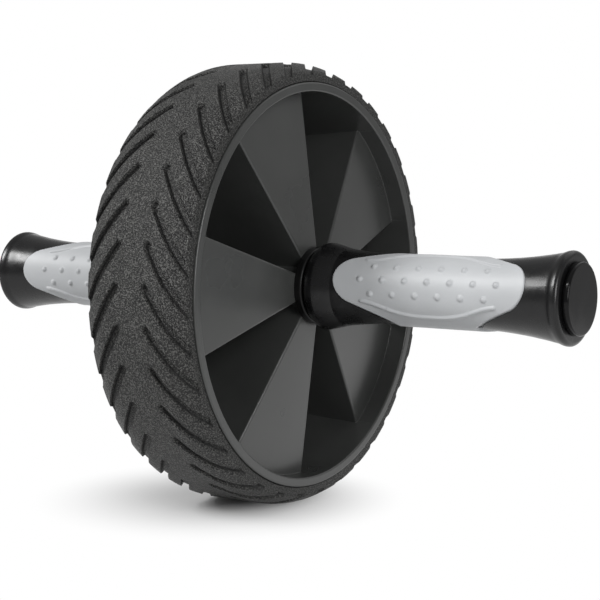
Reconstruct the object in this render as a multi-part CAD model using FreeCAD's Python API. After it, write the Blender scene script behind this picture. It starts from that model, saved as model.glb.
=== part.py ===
import FreeCAD, Part
import math
import os

from FreeCAD import Vector

# Ab wheel roller: a tyred wheel that turns on a steel axle, with a moulded grip on each side.
# X runs along the axle, Z is up, and the origin is on the floor under the middle of the wheel.
# All lengths are in millimetres and all angles in degrees.

# Tyre: a foam rubber ring with a flat crown, round shoulders and two rows of slanted grooves
tyre_diameter = 190.0
tyre_width = 49.2
tyre_depth = 10.6
tread_flat_width = 24.0
shoulder_drop = 3.6
tyre_edge_width = 1.2
tyre_edge_drop = 1.6
groove_count = 36
groove_width = 3.4
groove_depth = 1.9
groove_row_gap = 11.2
groove_slant = 34.0
groove_phase = 2.5

# Rim of the wheel core: a barrel with a lip on each side that keeps the tyre in place
lip_proud = 0.8
lip_height = 2.0
lip_face_width = 3.9
lip_thickness = 1.7
lip_round = 0.7
lip_groove = 0.9

# Web of the wheel core: ten sectors, raised by turns on one side and the other
sector_count = 10
web_wall = 2.4
panel_hub_setback = 0.8
panel_rim_setback = 8.6
panel_rim_step = 0.4
pocket_draft = 3.2
panel_edge_round = 0.9
panel_phase = 0.0

# Hub of the wheel core, with its bushes and covers
hub_diameter = 22.4
hub_setback = 0.9
cover_diameter = 33.0
cover_thickness = 3.5
cover_seat_clearance = 0.5
cover_lip = 0.7
cover_mouth_clearance = 0.7
cover_round = 1.1
bush_length = 18.0
bush_wall = 2.0
bush_flange_thickness = 2.0
hub_core_clearance = 0.6

# Axle: a turned steel rod with thinner ends, each tapped for a bolt
axle_diameter = 12.0
axle_step = 1.0
tapped_depth = 18.0

# Clearances: running fits, press fits, end play of the wheel and the gap at the grips
running_clearance = 0.05
press_clearance = 0.02
wheel_end_play = 0.2
grip_gap = 0.4

# Thrust washers, and the bolts and washers that hold the handles
thrust_washer_diameter = 18.0
thrust_washer_thickness = 1.0
bolt_diameter = 5.0
bolt_head_diameter = 9.5
bolt_head_height = 2.75
bolt_head_flat = 6.0
bolt_dome_radius = 9.5
bolt_socket_width = 3.0
bolt_socket_sides = 6
bolt_socket_depth = 1.6
bolt_washer_margin = 1.5
bolt_washer_thickness = 1.2
bolt_tip_gap = 1.0
clamp_gap = 1.0

# Handle cores: the stiff tubes inside the grips
core_diameter = 21.0

# Grip bodies: waisted in the middle and flared at both ends, with a bead at the outer end
grip_length = 116.2
waist_diameter = 28.5
waist_length = 32.0
flare_radius = 192.0
inner_flare_height = 2.1
inner_flare_round = 4.5
inner_flare_run = 9.0
neck_hollow = 7.0
bead_height = 0.2
bead_crown = 5.0
bead_round = 1.8
cap_bore = 23.0
cap_bore_depth = 8.6
core_setback = 1.0

# Grip pads: a soft sleeve that reaches out as two leaves, with rows of raised dots
pad_setback = 14.8
pad_tip_width = 19.0
pad_tip_length = 6.5
pad_crest_width = 41.3
pad_proud = 0.8
pad_recess = 1.2
pad_turn_right = 19.0
pad_turn_left = 9.0
dot_diameter = 2.7
dot_height = 0.6
dot_margin = 12.4
dot_row_angle = 22.4
dot_row_counts = (6, 7, 6)

# End caps: a glossy disc with a plug that fits in the grip
cap_diameter = 29.0
cap_thickness = 2.9
cap_groove_width = 0.5
cap_groove_depth = 0.6
cap_round = 0.7
cap_plug_length = 5.0
cap_plug_wall = 1.6

# How far a cutting tool runs past what it cuts
overrun = 5.0

# Half sizes and places along the axle that several pieces share
tyre_radius = tyre_diameter / 2
tyre_half = tyre_width / 2
tread_half = tread_flat_width / 2
tyre_seat_radius = tyre_radius - tyre_depth
rim_half = tyre_half + lip_proud
rim_width = 2 * rim_half
lip_radius = tyre_seat_radius + lip_height
lip_bore_radius = lip_radius - lip_face_width
panel_rim_radius = lip_bore_radius - panel_rim_step
pocket_floor_radius = lip_bore_radius - pocket_draft
panel_hub_height = rim_half - panel_hub_setback
panel_rim_height = rim_half - panel_rim_setback
hub_radius = hub_diameter / 2
hub_half = rim_half - hub_setback
cover_radius = cover_diameter / 2
cover_seat_radius = cover_radius + cover_seat_clearance
axle_radius = axle_diameter / 2
axle_end_radius = axle_radius - axle_step
bush_bore_radius = axle_radius + running_clearance
bush_radius = bush_bore_radius + bush_wall
washer_radius = thrust_washer_diameter / 2
cover_mouth_radius = washer_radius + cover_mouth_clearance
flange_radius = cover_mouth_radius + cover_lip
flange_end = hub_half + bush_flange_thickness
axle_shoulder = flange_end + wheel_end_play
washer_end = axle_shoulder + thrust_washer_thickness
cover_end = hub_half + cover_thickness
grip_start = cover_end + grip_gap
grip_end = grip_start + grip_length
core_radius = core_diameter / 2
core_end = grip_end - cap_bore_depth - core_setback
axle_half = core_end - clamp_gap
waist_radius = waist_diameter / 2
pad_centre = grip_start + grip_length / 2
pad_length = grip_length - 2 * pad_setback
bolt_radius = bolt_diameter / 2
sector_angle = 360 / sector_count

axle_line = Vector(1, 0, 0)
middle = Vector(0, 0, 0)


def at(point):
    """A point of a lengthwise section: its place along the axle and its radius."""
    return Vector(point[0], 0, point[1])


def section(start, *steps):
    """A closed face from points and arcs; an arc is given as its middle and its end."""
    edges = []
    here = start
    for step in steps:
        if isinstance(step[0], tuple):
            half_way, there = step
            edges.append(Part.Arc(at(here), at(half_way), at(there)).toShape())
        else:
            there = step
            edges.append(Part.LineSegment(at(here), at(there)).toShape())
        here = there
    if here != start:
        edges.append(Part.LineSegment(at(here), at(start)).toShape())
    return Part.Face(Part.Wire(edges))


def spun(face, angle=360):
    """A solid of revolution about the axle."""
    return face.revolve(middle, axle_line, angle)


def sleeve(start, end, inner_radius, outer_radius):
    """A plain tube along the axle."""
    corners = [(start, inner_radius), (end, inner_radius), (end, outer_radius), (start, outer_radius)]
    return spun(section(*corners))


def rod(start, end, radius):
    """A plain solid bar along the axle."""
    return Part.makeCylinder(radius, end - start, Vector(start, 0, 0), axle_line)


def turned(shape, angle):
    """A copy turned about the axle; an angle of 0 leaves the top at the top, 90 brings it to the front."""
    copy = shape.copy()
    copy.rotate(middle, axle_line, angle)
    return copy


def mirrored(shape):
    """The same piece for the other side of the wheel."""
    return shape.mirror(middle, axle_line)


def bulge_point(start, end, radius):
    """The middle of an arc of this radius from start to end, on the side away from the axle."""
    run = end[0] - start[0]
    rise = end[1] - start[1]
    chord = math.hypot(run, rise)
    sagitta = radius - math.sqrt(radius ** 2 - (chord / 2) ** 2)
    return (start[0] + run / 2 - rise / chord * sagitta, start[1] + rise / 2 + run / chord * sagitta)


def tangent_touch(point, centre, radius):
    """Where a line from a point further along the axle touches the top of a circle."""
    run = point[0] - centre[0]
    rise = point[1] - centre[1]
    angle = math.atan2(rise, run) + math.acos(radius / math.hypot(run, rise))
    return (centre[0] + radius * math.cos(angle), centre[1] + radius * math.sin(angle))


def crossing(first, first_radius, second, second_radius):
    """Where two circles cross, on the side nearer the wheel."""
    run = second[0] - first[0]
    rise = second[1] - first[1]
    span = math.hypot(run, rise)
    reach = (first_radius ** 2 - second_radius ** 2 + span ** 2) / (2 * span)
    aside = math.sqrt(first_radius ** 2 - reach ** 2)
    return (
        first[0] + (run * reach + rise * aside) / span,
        first[1] + (rise * reach - run * aside) / span,
    )


def along_line(start, end, reach):
    """The point on the line from start through end at a distance from start."""
    share = reach / math.hypot(end[0] - start[0], end[1] - start[1])
    return (start[0] + (end[0] - start[0]) * share, start[1] + (end[1] - start[1]) * share)


def corner_point(start, end, centre):
    """The middle of the short arc from start to end about a centre."""
    reach = math.hypot(start[0] - centre[0], start[1] - centre[1])
    run = (start[0] + end[0]) / 2 - centre[0]
    rise = (start[1] + end[1]) / 2 - centre[1]
    share = reach / math.hypot(run, rise)
    return (centre[0] + run * share, centre[1] + rise * share)


# The tyre's outer line is flat in the middle and falls to the shoulders on a tangent arc
shoulder_end = tyre_half - tyre_edge_width
shoulder_run = shoulder_end - tread_half
shoulder_radius = (shoulder_run ** 2 + shoulder_drop ** 2) / (2 * shoulder_drop)


def shoulder_arc(crown_radius, side):
    """The tread's shoulder, from the flat crown to the tyre's edge, as its middle and its end."""
    start = (side * tread_half, crown_radius)
    end = (side * shoulder_end, crown_radius - shoulder_drop)
    return corner_point(start, end, (side * tread_half, crown_radius - shoulder_radius)), end


def tyre_section():
    """The tyre's section: a foot between the rim's lips, side walls, round shoulders and a flat crown."""
    foot_half = rim_half - lip_thickness - press_clearance
    wall_start = lip_radius + lip_groove
    edge_top = tyre_radius - shoulder_drop
    edge_low = edge_top - tyre_edge_drop
    corner_share = 0.7
    corner = shoulder_end + tyre_edge_width * corner_share
    corner_radius = edge_low + tyre_edge_drop * corner_share
    seat = tyre_seat_radius + press_clearance
    left_middle, left_shoulder = shoulder_arc(tyre_radius, -1)
    right_middle, right_shoulder = shoulder_arc(tyre_radius, 1)
    return section(
        (-foot_half, seat),
        (-foot_half, wall_start),
        (-tyre_half, wall_start),
        (-tyre_half, edge_low),
        ((-corner, corner_radius), left_shoulder),
        (left_middle, (-tread_half, tyre_radius)),
        (tread_half, tyre_radius),
        (right_middle, right_shoulder),
        ((corner, corner_radius), (tyre_half, edge_low)),
        (tyre_half, wall_start),
        (foot_half, wall_start),
        (foot_half, seat),
    )


def groove_floor():
    """What a groove leaves standing: the tyre's outer line, lower by the groove's depth."""
    crown = tyre_radius - groove_depth
    left_middle, left_shoulder = shoulder_arc(crown, -1)
    right_middle, right_shoulder = shoulder_arc(crown, 1)
    edge = crown - shoulder_drop
    end = tyre_half + overrun
    return spun(
        section(
            (-end, 0),
            (-end, edge),
            left_shoulder,
            (left_middle, (-tread_half, crown)),
            (tread_half, crown),
            (right_middle, right_shoulder),
            (end, edge),
            (end, 0),
        )
    )


def groove_cutter():
    """One slanted groove at the top of the wheel, with a round inner end, open at the shoulder."""
    tip = (groove_row_gap + groove_width) / 2
    slant = math.radians(groove_slant)
    back = (tyre_half - tip) / 2 / math.tan(slant)
    length = (tyre_half + overrun - tip) / math.sin(slant)
    height = tyre_radius + overrun - tyre_seat_radius
    low = Vector(0, 0, tyre_seat_radius)
    slot = Part.makeBox(length, groove_width, height, low - Vector(0, groove_width / 2, 0))
    cutter = slot.fuse(Part.makeCylinder(groove_width / 2, height, low))
    cutter.rotate(middle, Vector(0, 0, 1), groove_slant - 90)
    cutter.translate(Vector(tip, back, 0))
    half_sweep = math.degrees(back / tyre_radius)
    return cutter.cut(groove_floor()), half_sweep


def make_tyre():
    """The tyre with its grooves, which point upwards at the front of the wheel."""
    cutter, half_sweep = groove_cutter()
    row_starts = [cutter, mirrored(cutter)]
    cuts = []
    for index in range(groove_count):
        tip_angle = groove_phase + index * 360 / groove_count
        cuts += [turned(row, 90 - tip_angle + half_sweep) for row in row_starts]
    return spun(tyre_section()).cut(cuts)


# A raised panel is a shallow cone: its face falls from the hub to the rim
panel_slope = (panel_hub_height - panel_rim_height) / (panel_rim_radius - cover_seat_radius)


def panel_height(radius):
    """How far a raised panel's face stands from the wheel's middle plane."""
    return panel_rim_height + (panel_rim_radius - radius) * panel_slope


web_start = (hub_radius + bush_radius) / 2
web_end = (panel_rim_radius + tyre_seat_radius) / 2


def rim_sector():
    """One sector of the barrel, for a panel raised on the right, with its open pocket on the left."""
    lip_side = rim_half - lip_thickness
    pocket_floor = panel_rim_height - web_wall
    outer_corner = (rim_half - lip_round, lip_radius - lip_round)
    inner_corner = (rim_half - lip_round, lip_bore_radius + lip_round)
    outer_start = (rim_half - lip_round, lip_radius)
    outer_end = (rim_half, lip_radius - lip_round)
    inner_start = (rim_half, lip_bore_radius + lip_round)
    inner_end = (rim_half - lip_round, lip_bore_radius)
    outer_middle = corner_point(outer_start, outer_end, outer_corner)
    inner_middle = corner_point(inner_start, inner_end, inner_corner)

    def left(point):
        return (-point[0], point[1])

    face = section(
        left(inner_end),
        (left(inner_middle), left(inner_start)),
        left(outer_end),
        (left(outer_middle), left(outer_start)),
        (-lip_side, lip_radius),
        (-lip_side, tyre_seat_radius),
        (lip_side, tyre_seat_radius),
        (lip_side, lip_radius),
        outer_start,
        (outer_middle, outer_end),
        inner_start,
        (inner_middle, inner_end),
        (panel_rim_height, panel_rim_radius),
        (pocket_floor, pocket_floor_radius),
    )
    return turned(spun(face, sector_angle), -sector_angle / 2)


def sector_wedge():
    """The space over one sector and half a wall beyond it on each side, at the top of the wheel."""
    half = math.radians(sector_angle / 2)
    apex = -web_wall / 2 / math.sin(half)
    height = tyre_radius - apex
    side = height * math.tan(half)
    reach = max(rim_half, panel_height(web_start)) + overrun
    low = Vector(-reach, 0, apex)
    corners = [low, low + Vector(0, side, height), low + Vector(0, -side, height), low]
    return Part.Face(Part.makePolygon(corners)).extrude(Vector(2 * reach, 0, 0))


def raised_panel():
    """A panel raised on the right, over the top sector, with its two long edges rounded."""
    cone = spun(
        section(
            (panel_height(web_start), web_start),
            (panel_height(web_end), web_end),
            (panel_height(web_end) - web_wall, web_end),
            (panel_height(web_start) - web_wall, web_start),
        )
    )
    panel = cone.common(sector_wedge()).Solids[0]
    mid_radius = (web_start + web_end) / 2
    face_edges = []
    for edge in panel.Edges:
        spot = edge.CenterOfMass
        radius = math.hypot(spot.y, spot.z)
        is_long = edge.Length > mid_radius
        is_side = abs(spot.y) > mid_radius * math.sin(math.radians(sector_angle / 4))
        on_face = spot.x > panel_height(radius) - web_wall / 2
        if is_long and is_side and on_face:
            face_edges.append(edge)
    return panel.makeFillet(panel_edge_round, face_edges)


def web_rib():
    """The wall between two sectors, at the top of the wheel; it ends inside the panels on both sides."""
    start_height = panel_height(web_start) - web_wall / 2
    end_height = panel_height(web_end) - web_wall / 2
    face = section(
        (start_height, web_start), (end_height, web_end), (-end_height, web_end), (-start_height, web_start)
    )
    face.translate(Vector(0, -web_wall / 2, 0))
    return face.extrude(Vector(0, web_wall, 0))


def make_wheel_core():
    """Rim, web and hub in one moulding, bored and counterbored for the bushes."""
    rim, panel, rib = rim_sector(), raised_panel(), web_rib()
    pieces = []
    for index in range(sector_count):
        angle = 90 + panel_phase + index * sector_angle
        raised_right = index % 2 == 0
        pieces.append(turned(rim if raised_right else mirrored(rim), angle))
        pieces.append(turned(panel if raised_right else mirrored(panel), angle))
        pieces.append(turned(rib, angle + sector_angle / 2))
    hub = rod(-hub_half, hub_half, hub_radius)
    core = hub.multiFuse(pieces)
    bush_seat = hub_half - bush_length
    cuts = [rod(-rim_width, rim_width, axle_radius + hub_core_clearance)]
    for seat in (rod(bush_seat, rim_width, bush_radius + press_clearance),
                 rod(hub_half, rim_width, cover_seat_radius)):
        cuts += [seat, mirrored(seat)]
    return core.cut(cuts).removeSplitter()


def make_bush():
    """A flanged bush, pressed into the right end of the hub."""
    start = hub_half - bush_length
    return spun(
        section(
            (start, bush_bore_radius),
            (flange_end, bush_bore_radius),
            (flange_end, flange_radius),
            (hub_half, flange_radius),
            (hub_half, bush_radius),
            (start, bush_radius),
        )
    )


def make_hub_cover():
    """The ring that closes the hub's right end; it is pressed over the bush's flange."""
    seat = flange_radius + press_clearance
    lip_start = flange_end + press_clearance
    corner = (cover_end - cover_round, cover_radius - cover_round)
    round_start = (cover_end, cover_radius - cover_round)
    round_end = (cover_end - cover_round, cover_radius)
    return spun(
        section(
            (hub_half, seat),
            (lip_start, seat),
            (lip_start, cover_mouth_radius),
            (cover_end, cover_mouth_radius),
            round_start,
            (corner_point(round_start, round_end, corner), round_end),
            (hub_half, cover_radius),
        )
    )


def make_axle():
    """The axle with its two shoulders and tapped ends."""
    bar = rod(-axle_shoulder, axle_shoulder, axle_radius).fuse(rod(-axle_half, axle_half, axle_end_radius))
    hole = rod(axle_half - tapped_depth, axle_half + overrun, bolt_radius + press_clearance)
    return bar.cut([hole, mirrored(hole)]).removeSplitter()


def make_thrust_washer():
    """The washer between the axle's right shoulder and the handle."""
    return sleeve(axle_shoulder, washer_end, axle_end_radius + running_clearance, washer_radius)


def make_handle_core():
    """The tube inside the right grip; its nose passes through the hub cover to the thrust washer."""
    bore = axle_end_radius + press_clearance
    return spun(
        section(
            (washer_end, bore),
            (core_end, bore),
            (core_end, core_radius),
            (grip_start, core_radius),
            (grip_start, washer_radius),
            (washer_end, washer_radius),
        )
    )


def flare_radius_at(distance):
    """The grip body's radius at a distance from its middle: a straight waist, then a wide hollow arc."""
    run = max(abs(distance) - waist_length / 2, 0)
    return waist_radius + flare_radius - math.sqrt(flare_radius ** 2 - run ** 2)


def flare_step(start, end, offset=0):
    """A stretch of the flare between two places along the axle, as the middle and end of an arc."""
    points = []
    for place in ((start + end) / 2, end):
        points.append((place, flare_radius_at(place - pad_centre) + offset))
    return tuple(points)


def make_grip_blank():
    """The right grip body before the pad's recess is cut."""
    bore = core_radius + press_clearance
    plug_bore = cap_bore / 2
    plug_start = grip_end - cap_bore_depth
    inner_top = grip_start + inner_flare_round
    # A straight run joins the inner flare's crown to the wide arc
    blend = inner_top + inner_flare_run
    blend_radius = flare_radius_at(blend - pad_centre)
    inner_radius = blend_radius + inner_flare_height
    waist_start = pad_centre - waist_length / 2
    waist_end = pad_centre + waist_length / 2
    bead_top = grip_end - bead_round
    bead_radius = flare_radius_at(bead_top - pad_centre) + bead_height
    # A hollow neck joins the wide arc to the bead, tangent to both
    flare_centre = (waist_end, waist_radius + flare_radius)
    crown_centre = (bead_top, bead_radius - bead_crown)
    hollow_centre = crossing(flare_centre, flare_radius - neck_hollow, crown_centre, bead_crown + neck_hollow)
    neck = along_line(flare_centre, hollow_centre, flare_radius)
    bead_start = along_line(crown_centre, hollow_centre, bead_crown)
    bead_peak = (bead_top, bead_radius)
    bead_end = (grip_end, bead_radius - bead_round)
    bead_centre = (bead_top, bead_radius - bead_round)
    # The inner end is a round dome that runs into a straight slope
    round_start = (grip_start, inner_radius - inner_flare_round)
    round_centre = (inner_top, inner_radius - inner_flare_round)
    crown_start = tangent_touch((blend, blend_radius), round_centre, inner_flare_round)
    return spun(
        section(
            (grip_start, bore),
            round_start,
            (corner_point(round_start, crown_start, round_centre), crown_start),
            (blend, blend_radius),
            flare_step(blend, waist_start),
            (waist_end, waist_radius),
            flare_step(waist_end, neck[0]),
            (corner_point(neck, bead_start, hollow_centre), bead_start),
            (corner_point(bead_start, bead_peak, crown_centre), bead_peak),
            (corner_point(bead_peak, bead_end, bead_centre), bead_end),
            (grip_end, plug_bore),
            (plug_start, plug_bore),
            (plug_start, bore),
        )
    )


def pad_outline():
    """The two leaves as one long outline, drawn through the grip from front to back."""
    tip = pad_length / 2
    neck = tip - pad_tip_length
    half = pad_tip_width / 2
    crest = pad_crest_width / 2
    depth = flare_radius_at(tip) + overrun
    low = Vector(pad_centre, 0, -depth)
    edges = [
        Part.LineSegment(low + Vector(0, crest, 0), low + Vector(neck, half, 0)),
        Part.Arc(low + Vector(neck, half, 0), low + Vector(tip, 0, 0), low + Vector(neck, -half, 0)),
        Part.LineSegment(low + Vector(neck, -half, 0), low + Vector(0, -crest, 0)),
        Part.LineSegment(low + Vector(0, -crest, 0), low + Vector(-neck, -half, 0)),
        Part.Arc(low + Vector(-neck, -half, 0), low + Vector(-tip, 0, 0), low + Vector(-neck, half, 0)),
        Part.LineSegment(low + Vector(-neck, half, 0), low + Vector(0, crest, 0)),
    ]
    face = Part.Face(Part.Wire([edge.toShape() for edge in edges]))
    return face.extrude(Vector(0, 0, 2 * depth))


def make_pad_sleeve():
    """The soft sleeve with its two leaves, before the dots."""
    start = pad_centre - pad_length / 2 - overrun
    end = pad_centre + pad_length / 2 + overrun
    waist_start = pad_centre - waist_length / 2
    waist_end = pad_centre + waist_length / 2

    def edge_point(place, offset):
        return (place, flare_radius_at(place - pad_centre) + offset)

    blank = spun(
        section(
            edge_point(start, -pad_recess),
            edge_point(start, pad_proud),
            flare_step(start, waist_start, pad_proud),
            edge_point(waist_end, pad_proud),
            flare_step(waist_end, end, pad_proud),
            edge_point(end, -pad_recess),
            flare_step(end, waist_end, -pad_recess),
            edge_point(waist_start, -pad_recess),
            flare_step(waist_start, start, -pad_recess),
        )
    )
    return blank.common(pad_outline()).Solids[0]


def pad_dots():
    """The raised dots of both leaves, in staggered rows: half balls sunk in the pad."""
    dome = (dot_diameter ** 2 / 4 + dot_height ** 2) / (2 * dot_height)
    dot_spacing = (pad_length - 2 * dot_margin) / (max(dot_row_counts) - 1)
    dots = []
    for leaf_angle in (0, 180):
        for row, count in enumerate(dot_row_counts):
            row_angle = (row - (len(dot_row_counts) - 1) / 2) * dot_row_angle
            for index in range(count):
                distance = (index - (count - 1) / 2) * dot_spacing
                top = flare_radius_at(distance) + pad_proud + dot_height
                centre = Vector(pad_centre + distance, 0, top - dome)
                dot = Part.makeSphere(dome, centre, Vector(0, 0, 1), 0, 90)
                dot.rotate(centre, Vector(0, 0, 1), 90)
                dots.append(turned(dot, leaf_angle + row_angle))
    return dots


def make_end_cap():
    """The disc that closes the right grip, with a hollow plug behind it and a groove at its foot."""
    radius = cap_diameter / 2
    foot = radius - cap_groove_depth
    plug = cap_bore / 2 - press_clearance
    groove_end = grip_end + cap_groove_width
    end = grip_end + cap_thickness
    round_start = (end - cap_round, radius)
    round_end = (end, radius - cap_round)
    corner = (end - cap_round, radius - cap_round)
    plug_start = grip_end - cap_plug_length
    return spun(
        section(
            (plug_start, plug - cap_plug_wall),
            (plug_start, plug),
            (grip_end, plug),
            (grip_end, foot),
            (groove_end, foot),
            (groove_end, radius),
            round_start,
            (corner_point(round_start, round_end, corner), round_end),
            (end, 0),
            (grip_end, 0),
            (grip_end, plug - cap_plug_wall),
        )
    )


def make_bolt_washer():
    """The washer under the right bolt's head."""
    inner = bolt_radius + running_clearance
    return sleeve(core_end, core_end + bolt_washer_thickness, inner, core_radius - bolt_washer_margin)


def make_bolt():
    """The button-head bolt in the axle's right end."""
    seat = core_end + bolt_washer_thickness
    top = seat + bolt_head_height
    head = bolt_head_diameter / 2
    tip = axle_half - tapped_depth + bolt_tip_gap
    dome_end = (top, bolt_head_flat / 2)
    dome_middle = bulge_point((seat, head), dome_end, bolt_dome_radius)
    body = spun(
        section(
            (tip, 0),
            (tip, bolt_radius),
            (seat, bolt_radius),
            (seat, head),
            (dome_middle, dome_end),
            (top, 0),
        )
    )
    corner = bolt_socket_width / 2 / math.cos(math.pi / bolt_socket_sides)
    corners = []
    for index in range(bolt_socket_sides + 1):
        angle = index * 2 * math.pi / bolt_socket_sides
        corners.append(Vector(top - bolt_socket_depth, corner * math.cos(angle), corner * math.sin(angle)))
    socket = Part.Face(Part.makePolygon(corners)).extrude(Vector(bolt_socket_depth + overrun, 0, 0))
    return body.cut(socket)


def make_grip(turn):
    """A right grip body and its pad, with the leaves turned up from the front by an angle."""
    sleeve_shape = make_pad_sleeve()
    angle = 90 - turn
    body = turned(make_grip_blank().cut(sleeve_shape), angle)
    pad = turned(sleeve_shape.fuse(pad_dots()).removeSplitter(), angle)
    return body, pad


def save(name, shape):
    """Lifts a piece to the wheel's height above the floor and writes it under its node's name."""
    placed = shape.copy()
    placed.translate(Vector(0, 0, tyre_radius))
    placed.exportStep(f"parts/{name}.step")
    print(name, len(placed.Solids), round(placed.Volume, 1), placed.isValid())


os.makedirs("parts", exist_ok=True)
save("tyre", make_tyre())
save("wheel_core", make_wheel_core())
save("axle", make_axle())

right_pieces = {
    "hub_bush": make_bush(),
    "hub_cover": make_hub_cover(),
    "thrust_washer": make_thrust_washer(),
    "handle_core": make_handle_core(),
    "end_cap": make_end_cap(),
    "bolt_washer": make_bolt_washer(),
    "end_bolt": make_bolt(),
}
right_body, right_pad = make_grip(pad_turn_right)
left_body, left_pad = make_grip(pad_turn_left)
for piece, shape in right_pieces.items():
    save(f"{piece}_right", shape)
    save(f"{piece}_left", mirrored(shape))
save("grip_body_right", right_body)
save("grip_pad_right", right_pad)
save("grip_body_left", mirrored(left_body))
save("grip_pad_left", mirrored(left_pad))
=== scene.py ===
"""Ab wheel roller: a grooved foam rubber tyre on a moulded wheel, between two grips with soft pads."""

import math

import bmesh
import bpy
import numpy as np
from bpy.props import FloatProperty, FloatVectorProperty, IntProperty, PointerProperty
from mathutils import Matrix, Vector
from mathutils.kdtree import KDTree


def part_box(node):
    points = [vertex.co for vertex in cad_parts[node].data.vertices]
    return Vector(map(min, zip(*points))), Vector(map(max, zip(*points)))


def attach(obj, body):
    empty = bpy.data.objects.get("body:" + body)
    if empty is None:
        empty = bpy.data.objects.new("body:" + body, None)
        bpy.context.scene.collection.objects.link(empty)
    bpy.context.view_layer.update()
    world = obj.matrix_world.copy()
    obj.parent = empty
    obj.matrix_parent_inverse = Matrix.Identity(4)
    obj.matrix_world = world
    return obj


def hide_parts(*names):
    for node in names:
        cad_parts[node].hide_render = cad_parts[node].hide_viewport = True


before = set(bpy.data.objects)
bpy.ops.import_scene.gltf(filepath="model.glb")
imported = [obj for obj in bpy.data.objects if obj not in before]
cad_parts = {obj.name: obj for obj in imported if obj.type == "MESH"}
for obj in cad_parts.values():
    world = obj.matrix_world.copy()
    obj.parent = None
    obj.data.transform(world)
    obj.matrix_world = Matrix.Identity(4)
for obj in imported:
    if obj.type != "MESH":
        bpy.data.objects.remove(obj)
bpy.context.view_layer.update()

bl_info = {
    "name": "Ab Wheel Roller",
    "version": (1, 0, 0),
    "blender": (4, 5, 0),
    "location": "View3D > Sidebar > Roller",
    "description": "Dresses the ab wheel roller: tyre, wheel, grips, pads, hardware and studio",
    "category": "Add Mesh",
}

MM = 0.001

# What the frame gives
TYRE_LOW, TYRE_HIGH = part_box("tyre")
PAD_LOW, PAD_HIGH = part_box("grip_pad_right")
AXLE_HEIGHT = (TYRE_LOW.z + TYRE_HIGH.z) / 2

# How finely the tyre is drawn: points along each stretch of its section
TIP_POINTS = 10
CROWN_POINTS = 7
SHOULDER_POINTS = 13
EDGE_POINTS = 7
WALL_POINTS = 6
# How far before a groove's tip the rows close up, as a share of the groove's width
TIP_LEAD = 0.7
# An extra row this far from the foot's corner keeps it crisp under smooth shading
CORNER_ROW = 0.1 * MM
# Columns beside a groove, as shares of half its width: they are closest on its wall
GROOVE_COLUMNS = (0, 0.4, 0.62, 0.7, 0.77, 0.84, 0.91, 0.98, 1.05, 1.12, 1.19, 1.34, 1.7, 2.2)

# How finely a pad is drawn: rows along its ring and along a leaf's flank and tip, and columns across them
RING_ROWS = 52
FLANK_ROWS = 52
TIP_ROWS = 20
TOP_COLUMNS = 141
UNDER_COLUMNS = 9
# How much the top's columns close up towards the outline, from 0 to 1
CROWDING = 0.4
# Points that are tried to find where the leaves part
PARTING_POINTS = 8000
# Points along a leaf's outline, which the rounding of its edge is measured from
FLANK_OUTLINE_POINTS = 900
TIP_OUTLINE_POINTS = 500
# Just short of a quarter turn, in radians, which keeps the undersides of the two leaves apart
UNDER_LIMIT = 1.56

# Rows of dots on a leaf: which row it is, counted from the middle, and how many dots it has
DOT_ROWS = ((-1, 6), (0, 7), (1, 6))
# Half a ridge's path: millimetres along the handle, and degrees from the middle of its leaf
RIDGE_PATH = ((0, 58), (5, 58), (10, 56), (15, 52), (19, 46.5), (23, 40), (27, 35.5), (30, 33))
RIDGE_POINTS = 61
# Neighbouring points of the path that are averaged, so that it runs round its corners
RIDGE_ROUNDING = 7
# Below 1 the dots and ridges have fuller flanks than a parabola
DOME_POWER = 0.8

# Points nearer than these are one point, on a finished shell and where the tread's pitches meet
MERGE_REACH = 0.002 * MM
SEAM_REACH = 0.01 * MM
# An edge shorter than this is none, and places that differ by less than the rounding are alike
NO_LENGTH = 0.0001 * MM
ROUNDING = 0.000001 * MM

# Most heights of a noise lie between the low and the high one
NOISE_LOW = 0.3
NOISE_MIDDLE = 0.5
NOISE_HIGH = 0.7
# Depth of a moulded skin at full strength
SKIN_DEPTH = 0.05 * MM

# Cosines of the angles between which the white backdrop gives way to the dimmer room
ROOM_STARTS = 0.9
BACKDROP_ENDS = 0.97
# The camera's sensor, in millimetres as Blender takes it
SENSOR_WIDTH = 36
NEAREST_SEEN = 10 * MM


# Properties


def linear(code):
    """Turns an sRGB hex colour into the linear colour that the sockets take."""
    parts = [int(code[i:i + 2], 16) / 255 for i in (0, 2, 4)]
    return [c / 12.92 if c <= 0.04045 else ((c + 0.055) / 1.055) ** 2.4 for c in parts] + [1.0]


def length(name, description, default):
    return FloatProperty(
        name=name, description=description, default=default, min=0, precision=5, unit="LENGTH")


def angle(name, description, degrees):
    return FloatProperty(name=name, description=description, default=math.radians(degrees), subtype="ANGLE")


def power(name, description, watts):
    return FloatProperty(name=name, description=description, default=watts, min=0, unit="POWER")


def place(name, description, point):
    return FloatVectorProperty(
        name=name, description=description, default=point, size=3, subtype="TRANSLATION")


def colour(name, description, code):
    return FloatVectorProperty(
        name=name, description=description, default=linear(code), size=4, min=0, max=1, subtype="COLOR")


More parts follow.
